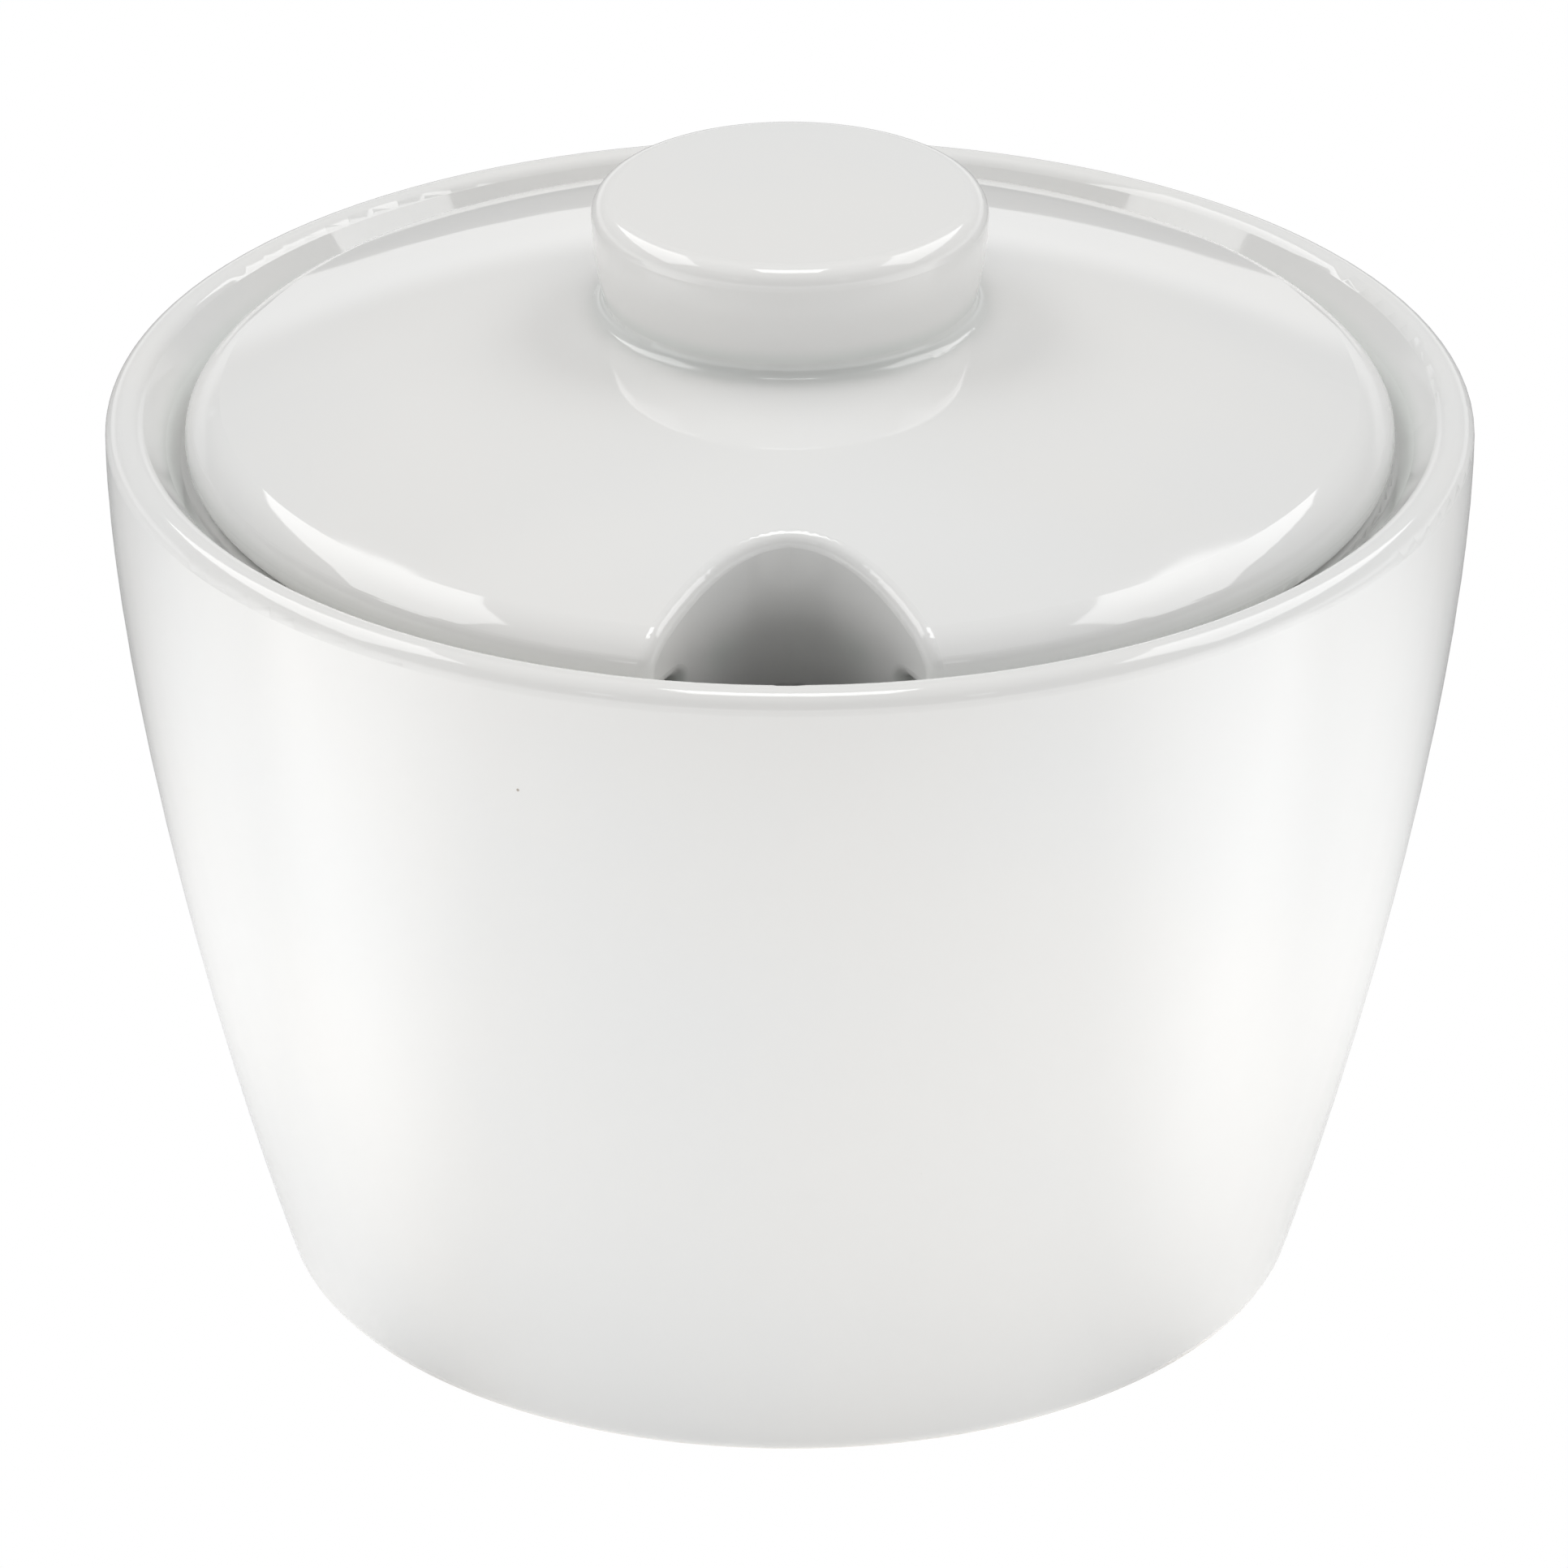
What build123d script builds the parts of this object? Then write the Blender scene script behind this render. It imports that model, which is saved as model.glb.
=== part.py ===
from build123d import *
from math import cos, radians, sin, sqrt, tan
import os

# Round sugar bowl with a lift-off lid, in white glazed porcelain.
#
# Three pieces are formed apart: the bowl, the lid with its locating flange and spoon
# notch, and the knob that is stuck on the lid with slip. The lid rests on a gallery
# just inside the bowl's rim and lifts straight up.
#
# Frame: millimetres, +Z up, origin on the Z axis at the plane that the foot stands on.
# The spoon notch faces -Y. Sections are drawn as (radius, height) and turned about Z.

# Bowl, outside
RIM_RADIUS = 52.5           # the bowl's widest place
RIM_TOP = 70.5
LIP_RADIUS = 1.65           # the rim is turned to a half round
BASE_RADIUS = 39.18         # where the wall's line meets the foot plane
BASE_FLARE = 17.6           # degrees that the wall leans out at the base
BASE_PULL = 23.0            # how far the wall keeps that lean
RIM_PULL = 16.6             # how far below the lip the wall is upright
FOOT_ROUND = 1.8

# Bowl, foot ring and inside
FOOT_INNER_RADIUS = 34.5
FOOT_INNER_ROUND = 0.6
RECESS_SLOPE = 1.2          # the recess is this much smaller at its top
RECESS_DEPTH = 1.5
RECESS_ROUND = 1.0
FLOOR_HEIGHT = 5.4
INNER_WALL = ((36.9, FLOOR_HEIGHT), (43.5, 30.0), (48.4, 57.5))  # foot, middle and top
INNER_WALL_TOP_ROUND = 5.0
FLOOR_ROUND = 11.0

# Gallery that the lid rests on
SEAT_HEIGHT = 66.6
GALLERY_RADIUS = 43.2       # opening inside the gallery
GALLERY_THICKNESS = 3.2
GALLERY_TOP_ROUND = 0.7
GALLERY_LOW_ROUND = 1.6
SEAT_OUTER_RADIUS = 46.5    # the flat seat ends here
SEAT_OUTER_ROUND = 1.0
CREASE_HEIGHT = 67.9        # foot of the steep inner face of the rim
CREASE_ROUND = 0.4
RIM_FACE_SLOPE = 50.0       # degrees from level

# Lid
LID_RADIUS = 46.43
DOME_RADIUS = 120.0
DOME_TOP = 79.7             # height that the dome would reach on the axis
LID_UNDERSIDE = 75.1        # underside of the dome on the axis
UNDERSIDE_RADIUS = 105.0
CEILING_ROUND = 2.0
SHOULDER_RADIUS = 45.0      # the dome ends here and a steeper shoulder begins
SHOULDER_SLOPE = 50.0       # degrees from level
SHOULDER_ROUND = 5.4
LID_EDGE_TOP_ROUND = 1.9    # with the one below, nearly a full round
LID_EDGE_LOW_ROUND = 1.6
FLANGE_OUTER_RADIUS = 41.2
FLANGE_INNER_RADIUS = 38.0
FLANGE_BOTTOM = 61.5
FLANGE_TOP_ROUND = 0.8      # where the flange leaves the underside of the lid's edge
FLANGE_ROUND = 1.3          # along the flange's bottom, inside and out

# Spoon notch, as seen from above
NOTCH_TIP = 34.0            # distance of the notch's inner end from the axis
NOTCH_HALF_WIDTH = 11.2     # between the middle and one side, at the mouth
NOTCH_MOUTH = 47.3          # distance from the axis where the notch is at full width
NOTCH_FLARE = 21.7          # degrees that the sides still open out at the mouth
NOTCH_TIP_PULL = 3.8
NOTCH_SIDE_PULL = 8.9
NOTCH_EDGE_ROUND = 1.2
SKIRT_THICKNESS = 3.2       # wall that runs down from the notch to the flange's bottom
SKIRT_CORNER_ROUND = 3.0

# Knob
KNOB_FOOT_HEIGHT = 80.0     # the knob is stuck on a low boss of the lid at this height
KNOB_FOOT_RADIUS = 14.3
BOSS_RADIUS = 14.05         # of the lid's boss where it meets the dome
BOSS_ROUND = 1.0            # slip smoothed round the boss
KNOB_TOP = 87.9
KNOB_RADIUS = 15.16
KNOB_ROUND = 1.7

LIP_HEIGHT = RIM_TOP - LIP_RADIUS
LIP_CENTRE = RIM_RADIUS - LIP_RADIUS


def rounded(section, corners):
    """Round corners of a section. Each corner is (radius, height, rounding)."""
    for r, z, rounding in corners:
        nearest = section.vertices().sort_by_distance((r, z, 0))[0]
        section = fillet(nearest, rounding)
    return section


def turned(section):
    """Solid of revolution about Z of a (radius, height) section."""
    return revolve(Plane.XZ * section, Axis.Z)


def dome_height(r):
    """Height of the lid's domed top at radius r."""
    return DOME_TOP - DOME_RADIUS + sqrt(DOME_RADIUS**2 - r**2)


def outer_wall():
    """The wall's outside, leaning out at the base and upright at the rim."""
    lean = radians(BASE_FLARE)
    low_pull = (BASE_RADIUS + BASE_PULL * sin(lean), BASE_PULL * cos(lean))
    high_pull = (RIM_RADIUS, LIP_HEIGHT - RIM_PULL)
    return Bezier((BASE_RADIUS, 0), low_pull, high_pull, (RIM_RADIUS, LIP_HEIGHT))


def bowl_body():
    slope = radians(RIM_FACE_SLOPE)
    lip_end = (LIP_CENTRE - LIP_RADIUS * sin(slope), LIP_HEIGHT + LIP_RADIUS * cos(slope))
    crease = (lip_end[0] - (lip_end[1] - CREASE_HEIGHT) / tan(slope), CREASE_HEIGHT)
    gallery_low = (GALLERY_RADIUS, SEAT_HEIGHT - GALLERY_THICKNESS)
    lip = ThreePointArc((RIM_RADIUS, LIP_HEIGHT), (LIP_CENTRE, RIM_TOP), lip_end)
    seat = Polyline(
        lip_end, crease, (SEAT_OUTER_RADIUS, SEAT_HEIGHT), (GALLERY_RADIUS, SEAT_HEIGHT),
        gallery_low, INNER_WALL[2],
    )
    inner_wall = ThreePointArc(*reversed(INNER_WALL))
    recess_corner = (FOOT_INNER_RADIUS - RECESS_SLOPE, RECESS_DEPTH)
    underneath = Polyline(
        INNER_WALL[0], (0, FLOOR_HEIGHT), (0, RECESS_DEPTH), recess_corner,
        (FOOT_INNER_RADIUS, 0), (BASE_RADIUS, 0),
    )
    section = make_face([outer_wall(), lip, seat, inner_wall, underneath])
    return turned(rounded(section, [
        (*crease, CREASE_ROUND),
        (SEAT_OUTER_RADIUS, SEAT_HEIGHT, SEAT_OUTER_ROUND),
        (GALLERY_RADIUS, SEAT_HEIGHT, GALLERY_TOP_ROUND),
        (*gallery_low, GALLERY_LOW_ROUND),
        (*INNER_WALL[2], INNER_WALL_TOP_ROUND),
        (*INNER_WALL[0], FLOOR_ROUND),
        (*recess_corner, RECESS_ROUND),
        (FOOT_INNER_RADIUS, 0, FOOT_INNER_ROUND),
        (BASE_RADIUS, 0, FOOT_ROUND),
    ]))


def notch_plan(margin):
    """The notch seen from above, grown by a margin: a pointed arch open past the edge."""
    tip = NOTCH_TIP - margin
    half_width = NOTCH_HALF_WIDTH + margin
    flare = radians(NOTCH_FLARE)
    corner = (half_width, -NOTCH_MOUTH)
    pull = (half_width - NOTCH_SIDE_PULL * sin(flare), NOTCH_SIDE_PULL * cos(flare) - NOTCH_MOUTH)
    side = Bezier((0, -tip), (NOTCH_TIP_PULL + margin / 2, -tip), pull, corner)
    far = -LID_RADIUS - half_width
    mouth = Polyline(corner, (half_width, far), (-half_width, far), (-half_width, corner[1]))
    return make_face([side, mouth, mirror(side, Plane.YZ)])


def lid_blank():
    """The lid filled solid down to the flange's bottom, before it is hollowed and cut."""
    shoulder = (SHOULDER_RADIUS, dome_height(SHOULDER_RADIUS))
    drop = (LID_RADIUS - SHOULDER_RADIUS) * tan(radians(SHOULDER_SLOPE))
    edge_top = (LID_RADIUS, shoulder[1] - drop)
    dome_end = (BOSS_RADIUS, dome_height(BOSS_RADIUS))
    dome = RadiusArc(shoulder, dome_end, -DOME_RADIUS)
    rest = Polyline(
        dome_end, (KNOB_FOOT_RADIUS, KNOB_FOOT_HEIGHT), (0, KNOB_FOOT_HEIGHT),
        (0, FLANGE_BOTTOM), (FLANGE_OUTER_RADIUS, FLANGE_BOTTOM),
        (FLANGE_OUTER_RADIUS, SEAT_HEIGHT), (LID_RADIUS, SEAT_HEIGHT), edge_top, shoulder,
    )
    return turned(rounded(make_face([dome, rest]), [
        (*shoulder, SHOULDER_ROUND),
        (*edge_top, LID_EDGE_TOP_ROUND),
        (LID_RADIUS, SEAT_HEIGHT, LID_EDGE_LOW_ROUND),
        (FLANGE_OUTER_RADIUS, SEAT_HEIGHT, FLANGE_TOP_ROUND),
        (*dome_end, BOSS_ROUND),
    ]))


def lid_hollow():
    """The space under the lid: round, with a bay pushed in by the skirt of the notch."""
    plan = Circle(FLANGE_INNER_RADIUS) - notch_plan(SKIRT_THICKNESS)
    plan = fillet(plan.vertices().sort_by(Axis.Y)[:2], SKIRT_CORNER_ROUND)
    shaft = extrude(Pos(0, 0, FLANGE_BOTTOM) * plan, KNOB_TOP - FLANGE_BOTTOM)
    ceiling = Pos(0, 0, LID_UNDERSIDE - UNDERSIDE_RADIUS) * Sphere(UNDERSIDE_RADIUS)
    space = shaft & ceiling
    return fillet(space.faces().sort_by(Axis.Z)[-1].edges(), CEILING_ROUND)


def lid():
    """Dome, flange and skirt in one. The flange turns in round the notch as a skirt, so
    the notch has one tall wall, and one rounding runs over its edge and down its corners."""
    notch = extrude(notch_plan(0), KNOB_TOP)
    notched = lid_blank() - lid_hollow() - notch
    tip_height = dome_height(NOTCH_TIP)
    at_tip = notched.edges().sort_by_distance((0, -NOTCH_TIP, tip_height))[:3]
    dome_edges = [edge for edge in at_tip if edge.geom_type != GeomType.LINE]
    eased = fillet(dome_edges, NOTCH_EDGE_ROUND)
    return fillet(eased.faces().sort_by(Axis.Z)[0].edges(), FLANGE_ROUND)


def lid_knob():
    widest = (KNOB_RADIUS, KNOB_TOP - KNOB_ROUND)
    foot = (KNOB_FOOT_RADIUS, KNOB_FOOT_HEIGHT)
    side = TangentArc(widest, foot, tangent=(0, -1))
    round_end = (KNOB_RADIUS - KNOB_ROUND, KNOB_TOP)
    top_round = TangentArc(widest, round_end, tangent=(0, 1))
    core = Polyline(round_end, (0, KNOB_TOP), (0, KNOB_FOOT_HEIGHT), foot)
    return turned(make_face([side, top_round, core]))


os.makedirs("parts", exist_ok=True)
for make in (bowl_body, lid, lid_knob):
    export_step(make(), f"parts/{make.__name__}.step")
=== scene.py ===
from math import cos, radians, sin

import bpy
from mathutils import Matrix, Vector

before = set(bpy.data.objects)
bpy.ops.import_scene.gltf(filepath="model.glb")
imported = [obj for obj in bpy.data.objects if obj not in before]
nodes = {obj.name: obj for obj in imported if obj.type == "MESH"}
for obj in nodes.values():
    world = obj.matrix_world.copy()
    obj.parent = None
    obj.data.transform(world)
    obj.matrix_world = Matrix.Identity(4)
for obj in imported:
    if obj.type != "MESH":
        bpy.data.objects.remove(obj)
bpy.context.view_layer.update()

# Looks of a white porcelain sugar bowl: the bowl, its lid with a spoon notch, and the knob.
# Lengths are in metres unless a name or comment says mm. The notch of the lid faces -Y.

MM = 0.001

# Camera: a long lens, 26 degrees above the level, square on to the notch
LENS_MM = 285.57
SENSOR_MM = 36.0
CAMERA_PLACE = (-0.00045, -0.8703, 0.4625)
CAMERA_DOWN = 26.011
CAMERA_FAR = 50.0

# Room: its grey at the horizon, 14 to 20 degrees up and 27 to 46 degrees up, in front and
# behind. The steps between them are given as the sine of the angle above the level.
ROOM_FRONT = (1.7, 0.09, 0.17)
ROOM_BACK = (0.8, 0.34, 0.31)
ROOM_TOP = 0.66
LOW_STEP = (0.12, 0.24)
HIGH_STEP = (0.34, 0.46)
TOP_STEP = (0.72, 0.86)
FRONT_TO_BACK = (-0.7, 0.7)

# Lights: a softbox and a small spot on either side, and one straight above
SOFTBOX_AZIMUTH = 113
SOFTBOX_LEVEL = 0.65        # from the bowl's axis
SOFTBOX_HEIGHTS = (0.55, 1.26)
SOFTBOX_WIDE = 0.91
SOFTBOX_WATTS = 6.0
SPOT_AZIMUTH = 33
SPOT_ELEVATION = radians(35)
SPOT_DISTANCE = 1.6
SPOT_SIZE = 0.12
SPOT_WATTS = 0.12
OVERHEAD_HEIGHT = 1.0
OVERHEAD_SIZE = 0.30
OVERHEAD_WATTS = 1.6
AIM_HEIGHT = 0.04

# Floor: its light is seen only in reflections and as light from below
FLOOR_HALF = 4.0
FLOOR_DROP = 0.02 * MM
FLOOR_GREY = 0.82
FLOOR_ROUGHNESS = 0.5
FLOOR_SPECULAR = 0.3
FLOOR_GLOW = 0.51
SIDE_GLOW = 1.00                        # added on either side of the bowl, in front of it
SIDE_GLOW_STEP = (0.66, 0.94)           # in x over the distance from the axis
SIDE_GLOW_END = (-35 * MM, 0.0)         # in y
FOOT_SHADE = 0.48                       # left of the light on either side of the foot
FOOT_SHADE_STEP = (0.45, 0.80)          # in x over the distance from the axis
FOOT_SHADE_END = (40 * MM, 85 * MM)     # in the distance from the axis
BEHIND_SHADE = 0.25                     # left of the light far behind the bowl
BEHIND_STEP = (-10 * MM, 100 * MM)      # in y

# Porcelain and glaze
BODY_COOL = (0.745, 0.747, 0.740, 1)
BODY_WARM = (0.760, 0.755, 0.740, 1)
# thicker glaze in the pools, and painted shade in creases and recesses
GLAZE_POOL_AND_SHADE = (0.690, 0.710, 0.690, 1)
GLAZE_IOR = 1.54
GLAZE_ROUGHNESS = (0.035, 0.06)
WAVE_HEIGHT = 0.034 * MM
SKIN_HEIGHT = 0.0006 * MM
SPECK = (0.40, 0.36, 0.31, 1)
SPECK_CELLS = 300                       # per metre
SPECK_RARITY = 0.96                     # share of the cells that hold none
SPECK_SIZES = (0.030, 0.060)            # radius, in cells
SPECK_EDGE = 0.02
# where glaze gathers, thicker and greener, and where the same grey is painted shade in creases,
# recesses and the gap round the lid: rings of (radius, height, spread) in mm
BOWL_POOLS_AND_SHADE = ((47.6, 67.8, 1.6), (43.4, 63.6, 2.0), (33.6, 1.4, 1.6), (27.0, 5.6, 9.0))
LID_POOLS_AND_SHADE = ((14.6, 79.4, 1.5), (41.4, 66.2, 1.2), (37.0, 66.6, 2.4))
KNOB_POOLS_AND_SHADE = ((14.2, 80.2, 1.4),)
POOL_AND_SHADE_STRENGTH = (0.6, 1.0)

# Bare clay of the foot ring
CLAY_PALE = (0.74, 0.70, 0.63, 1)
CLAY_DARK = (0.60, 0.55, 0.48, 1)
CLAY_ROUGHNESS = 0.75                   # over that of the glaze
CLAY_GRIT = 0.05 * MM
FOOT_BARE_HEIGHT = 0.20 * MM
FOOT_BARE_INSIDE = 34.2 * MM
FOOT_RAGGED = 0.08 * MM
GLAZE_EDGE = 0.15 * MM

# Noise of (cells per metre, detail), and for patches also the values between which they
# go from none to full
WAVES = (55, 2.0)
SKIN = (700, 1.0)
GRIT = (2600, 5.0)
GRIT_STEP = (0.35, 0.70)
CLOUDS = (26, 3.0, 0.35, 0.65)
POOL_AND_SHADE_PATCHES = (90, 2.0, 0.20, 0.80)
SHEEN_PATCHES = (140, 3.0, 0.30, 0.70)
RAGGED_PATCHES = (260, 4.0, 0.30, 0.70)


def make_camera():
    data = bpy.data.cameras.new("camera")
    data.sensor_width = SENSOR_MM
    data.lens = LENS_MM
    data.clip_end = CAMERA_FAR
    camera = bpy.data.objects.new("camera", data)
    camera.location = CAMERA_PLACE
    camera.rotation_euler = (radians(90 - CAMERA_DOWN), 0, 0)
    bpy.context.scene.collection.objects.link(camera)
    bpy.context.scene.camera = camera


def map_range(tree, value, low, high, low_value, high_value):
    """A smooth step from low_value to high_value as value goes from low to high."""
    node = tree.nodes.new("ShaderNodeMapRange")
    node.interpolation_type = "SMOOTHSTEP"
    for name, number in (("From Min", low), ("From Max", high)):
        node.inputs[name].default_value = number
    for name, end in (("To Min", low_value), ("To Max", high_value)):
        if isinstance(end, bpy.types.NodeSocket):
            tree.links.new(end, node.inputs[name])
        else:
            node.inputs[name].default_value = end
    tree.links.new(value, node.inputs["Value"])
    return node.outputs["Result"]


def make_world():
    """A dim room: bright along the horizon, dark above the camera, and paler behind the
    object and at the top."""
    world = bpy.data.worlds.new("studio")
    world.use_nodes = True
    tree = world.node_tree
    place = tree.nodes.new("ShaderNodeTexCoord")
    split = tree.nodes.new("ShaderNodeSeparateXYZ")
    tree.links.new(place.outputs["Generated"], split.inputs[0])
    back, up = split.outputs["Y"], split.outputs["Z"]

    def wall(horizon, middle, high):
        grey = map_range(tree, up, *LOW_STEP, horizon, middle)
        return map_range(tree, up, *HIGH_STEP, grey, high)

    walls = map_range(tree, back, *FRONT_TO_BACK, wall(*ROOM_FRONT), wall(*ROOM_BACK))
    grey = map_range(tree, up, *TOP_STEP, walls, ROOM_TOP)
    tree.links.new(grey, tree.nodes["Background"].inputs["Color"])
    bpy.context.scene.world = world


def around(azimuth, level, height):
    """A place level metres from the bowl's axis. Azimuth 0 is in front, at -Y, and 90 is
    at -X."""
    return Vector((-level * sin(radians(azimuth)), -level * cos(radians(azimuth)), height))


def area_light(name, place, aim_height, wide, high, watts):
    """An area light that faces the bowl's axis at aim_height."""
    data = bpy.data.lights.new(name, "AREA")
    data.shape = "RECTANGLE"
    data.size = wide
    data.size_y = high
    data.energy = watts
    light = bpy.data.objects.new(name, data)
    light.location = place
    aim = Vector((0, 0, aim_height)) - place
    light.rotation_euler = aim.to_track_quat("-Z", "Y").to_euler()
    bpy.context.scene.collection.objects.link(light)


def make_lights():
    low, high = SOFTBOX_HEIGHTS
    middle = (low + high) / 2
    spot_level = SPOT_DISTANCE * cos(SPOT_ELEVATION)
    spot_height = SPOT_DISTANCE * sin(SPOT_ELEVATION)
    for side in (-1, 1):
        area_light("softbox", around(side * SOFTBOX_AZIMUTH, SOFTBOX_LEVEL, middle), middle,
                   SOFTBOX_WIDE, high - low, SOFTBOX_WATTS)
        area_light("front_spot", around(side * SPOT_AZIMUTH, spot_level, spot_height),
                   AIM_HEIGHT, SPOT_SIZE, SPOT_SIZE, SPOT_WATTS)
    area_light("overhead", around(0, 0, OVERHEAD_HEIGHT), AIM_HEIGHT,
               OVERHEAD_SIZE, OVERHEAD_SIZE, OVERHEAD_WATTS)


class Shader:
    """Short ways to add and join the nodes of one material. It starts with the place on
    the object, and its x, y, height and distance from the Z axis."""

    def __init__(self, name):
        self.material = bpy.data.materials.new(name)
        self.material.use_nodes = True
        self.tree = self.material.node_tree
        self.surface = self.tree.nodes["Principled BSDF"]
        self.output = self.tree.nodes["Material Output"]
        self.place = self.add("TexCoord").outputs["Object"]
        split = self.add("SeparateXYZ", Vector=self.place)
        self.x, self.y, self.height = (split.outputs[axis] for axis in "XYZ")
        self.reach = self.length(self.x, self.y)

    def add(self, kind, settings=None, **inputs):
        node = self.tree.nodes.new("ShaderNode" + kind)
        for key, value in (settings or {}).items():
            setattr(node, key, value)
        for key, value in inputs.items():
            self.put(node.inputs[key.replace("_", " ")], value)
        return node

    def put(self, socket, value):
        if isinstance(value, bpy.types.NodeSocket):
            self.tree.links.new(value, socket)
        else:
            socket.default_value = value

    def math(self, operation, *values):
        node = self.add("Math", {"operation": operation})
        for socket, value in zip(node.inputs, values):
            self.put(socket, value)
        return node.outputs[0]

    def length(self, across, along):
        return self.math("SQRT", self.math("ADD", self.math("MULTIPLY", across, across),
                                           self.math("MULTIPLY", along, along)))

    def smooth(self, value, low, high, low_value=0.0, high_value=1.0):
        return map_range(self.tree, value, low, high, low_value, high_value)

    def noise(self, scale, detail):
        node = self.add("TexNoise", Vector=self.place, Scale=scale, Detail=detail, Roughness=0.5)
        return node.outputs["Fac"]

    def patches(self, scale, detail, low, high, low_value=0.0, high_value=1.0):
        return self.smooth(self.noise(scale, detail), low, high, low_value, high_value)

    def blend(self, factor, first, second):
        """Colour mix. A Mix node's colours are its inputs 6 and 7 and its output 2."""
        node = self.add("Mix", {"data_type": "RGBA"})
        self.put(node.inputs[0], factor)
        self.put(node.inputs[6], first)
        self.put(node.inputs[7], second)
        return node.outputs[2]


def make_floor():
    """Plain white to the camera. In reflections it is a grey floor that glows more at the
    sides, and less on either side of the foot and behind the bowl."""
    side = FLOOR_HALF
    mesh = bpy.data.meshes.new("floor")
    mesh.from_pydata([(-side, -side, 0), (side, -side, 0), (side, side, 0), (-side, side, 0)],
                     [], [(0, 1, 2, 3)])
    floor = bpy.data.objects.new("floor", mesh)
    floor.location.z = -FLOOR_DROP
    bpy.context.scene.collection.objects.link(floor)

    shader = Shader("pale_floor")
    sideways = shader.math("DIVIDE", shader.math("ABSOLUTE", shader.x), shader.reach)
    beside = shader.math("MULTIPLY", shader.smooth(sideways, *SIDE_GLOW_STEP, 0.0, SIDE_GLOW),
                         shader.smooth(shader.y, *SIDE_GLOW_END, 1.0, 0.0))
    by_foot = shader.smooth(sideways, *FOOT_SHADE_STEP, 1.0, FOOT_SHADE)
    near = shader.smooth(shader.reach, *FOOT_SHADE_END, by_foot, 1.0)
    lit = shader.smooth(shader.y, *BEHIND_STEP, 1.0, BEHIND_SHADE)
    glow = shader.math("MULTIPLY", shader.math("ADD", beside, FLOOR_GLOW), near)
    shade = shader.math("MULTIPLY", lit, FLOOR_GREY)
    grey = shader.add("CombineXYZ", X=shade, Y=shade, Z=shade)

    sockets = shader.surface.inputs
    shader.put(sockets["Emission Strength"], shader.math("MULTIPLY", glow, lit))
    shader.put(sockets["Emission Color"], (1, 1, 1, 1))
    shader.put(sockets["Base Color"], grey.outputs[0])
    shader.put(sockets["Roughness"], FLOOR_ROUGHNESS)
    shader.put(sockets["Specular IOR Level"], FLOOR_SPECULAR)
    white = shader.add("Emission", Strength=1.0)
    mix = shader.add("MixShader", Fac=shader.add("LightPath").outputs["Is Camera Ray"])
    shader.put(mix.inputs[1], shader.surface.outputs[0])
    shader.put(mix.inputs[2], white.outputs[0])
    shader.put(shader.output.inputs["Surface"], mix.outputs[0])
    mesh.materials.append(shader.material)


def glaze_bump(shader):
    """Bump of a fired glaze: slow waves, and a fine skin like orange peel."""
    rolling = shader.add("Bump", Strength=1.0, Distance=WAVE_HEIGHT,
                         Height=shader.noise(*WAVES))
    return shader.add("Bump", Strength=1.0, Distance=SKIN_HEIGHT,
                      Height=shader.noise(*SKIN), Normal=rolling.outputs[0])


def specks(shader):
    """Iron specks in the body that show through the glaze: one cell in many has one."""
    cells = shader.add("TexVoronoi", Vector=shader.place, Scale=SPECK_CELLS)
    pick = shader.add("SeparateColor", Color=cells.outputs["Color"])
    chosen = shader.math("GREATER_THAN", pick.outputs[0], SPECK_RARITY)
    size = shader.smooth(pick.outputs[1], 0.0, 1.0, *SPECK_SIZES)
    inside = shader.math("SUBTRACT", size, cells.outputs["Distance"])
    return shader.math("MULTIPLY", shader.smooth(inside, 0.0, SPECK_EDGE), chosen)


def ring(shader, radius, height, spread):
    """1 on a ring round Z and 0 beyond a spread from it. All three are in mm."""
    away = shader.length(shader.math("SUBTRACT", shader.reach, radius * MM),
                         shader.math("SUBTRACT", shader.height, height * MM))
    return shader.smooth(away, 0.0, spread * MM, 1.0, 0.0)


def porcelain(shader, pools_and_shade):
    """Colour and roughness of white porcelain under a clear glaze. In the pools the glaze is
    thicker, greener and greyer, and the same grey is painted shade in these creases and
    recesses."""
    colour = shader.blend(shader.patches(*CLOUDS), BODY_COOL, BODY_WARM)
    # painted shade in creases and recesses, together with the thicker glaze that gathers there
    pooled_and_shaded, *others = [ring(shader, *pool_and_shade) for pool_and_shade in pools_and_shade]
    for other in others:
        pooled_and_shaded = shader.math("MAXIMUM", pooled_and_shaded, other)
    pooled_and_shaded = shader.math("MULTIPLY", pooled_and_shaded, shader.patches(*POOL_AND_SHADE_PATCHES, *POOL_AND_SHADE_STRENGTH))
    colour = shader.blend(pooled_and_shaded, colour, GLAZE_POOL_AND_SHADE)
    colour = shader.blend(specks(shader), colour, SPECK)
    return colour, shader.patches(*SHEEN_PATCHES, *GLAZE_ROUGHNESS)


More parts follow.
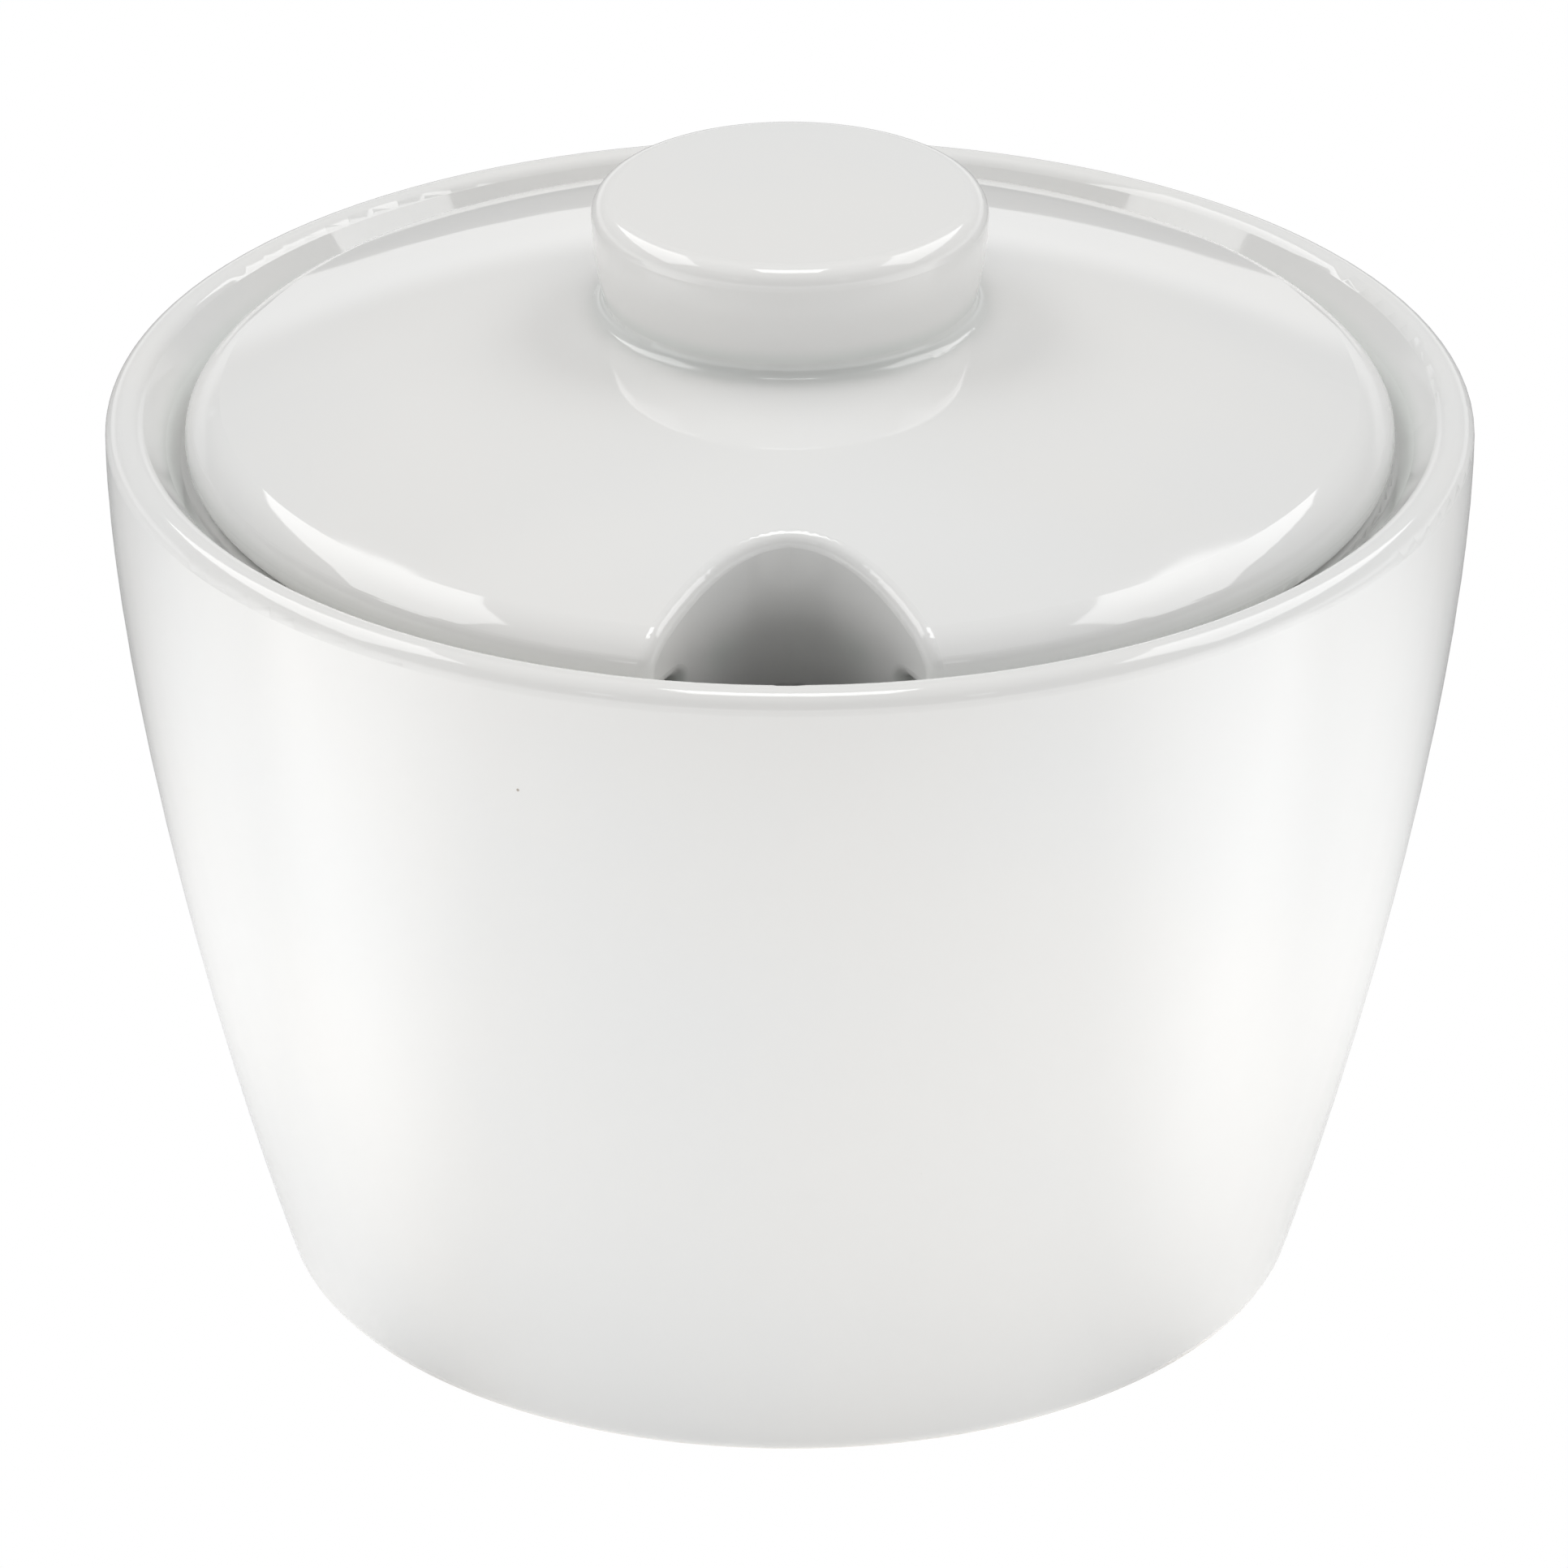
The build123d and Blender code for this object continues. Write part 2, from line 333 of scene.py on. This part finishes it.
def finish_glaze(shader, colour, rough, bump):
    sockets = shader.surface.inputs
    shader.put(sockets["Base Color"], colour)
    shader.put(sockets["Roughness"], rough)
    shader.put(sockets["Normal"], bump.outputs[0])
    shader.put(sockets["IOR"], GLAZE_IOR)
    return shader.material


def knob_and_lid_glaze(name, pools_and_shade):
    shader = Shader(name)
    return finish_glaze(shader, *porcelain(shader, pools_and_shade), glaze_bump(shader))


def bowl_glaze(name, pools_and_shade):
    """As the lid, with the foot ring wiped clean of glaze where it stands in the kiln."""
    shader = Shader(name)
    colour, rough = porcelain(shader, pools_and_shade)
    ragged = shader.patches(*RAGGED_PATCHES, -FOOT_RAGGED, FOOT_RAGGED)
    low = shader.smooth(shader.math("ADD", shader.height, ragged),
                        FOOT_BARE_HEIGHT, FOOT_BARE_HEIGHT + GLAZE_EDGE, 1.0, 0.0)
    outside_recess = shader.smooth(shader.math("ADD", shader.reach, ragged),
                                   FOOT_BARE_INSIDE, FOOT_BARE_INSIDE + GLAZE_EDGE)
    bare = shader.math("MULTIPLY", low, outside_recess)
    grit = shader.noise(*GRIT)
    clay = shader.blend(shader.smooth(grit, *GRIT_STEP), CLAY_DARK, CLAY_PALE)
    colour = shader.blend(bare, colour, clay)
    rough = shader.math("ADD", rough, shader.math("MULTIPLY", bare, CLAY_ROUGHNESS))
    gritty = shader.add("Bump", Distance=CLAY_GRIT, Height=grit, Strength=bare,
                        Normal=glaze_bump(shader).outputs[0])
    return finish_glaze(shader, colour, rough, gritty)


make_camera()
make_world()
make_floor()
make_lights()
finishes = {
    "bowl_body": bowl_glaze("body_glaze", BOWL_POOLS_AND_SHADE),
    "lid": knob_and_lid_glaze("lid_glaze", LID_POOLS_AND_SHADE),
    "lid_knob": knob_and_lid_glaze("knob_glaze", KNOB_POOLS_AND_SHADE),
}
for name, finish in finishes.items():
    nodes[name].data.materials.clear()
    nodes[name].data.materials.append(finish)

# many bounces, so that light reaches deep into the white notch and the gap round the lid
bpy.context.scene.cycles.diffuse_bounces = 12
bpy.context.scene.cycles.max_bounces = 16
bpy.context.scene.view_settings.view_transform = "Standard"
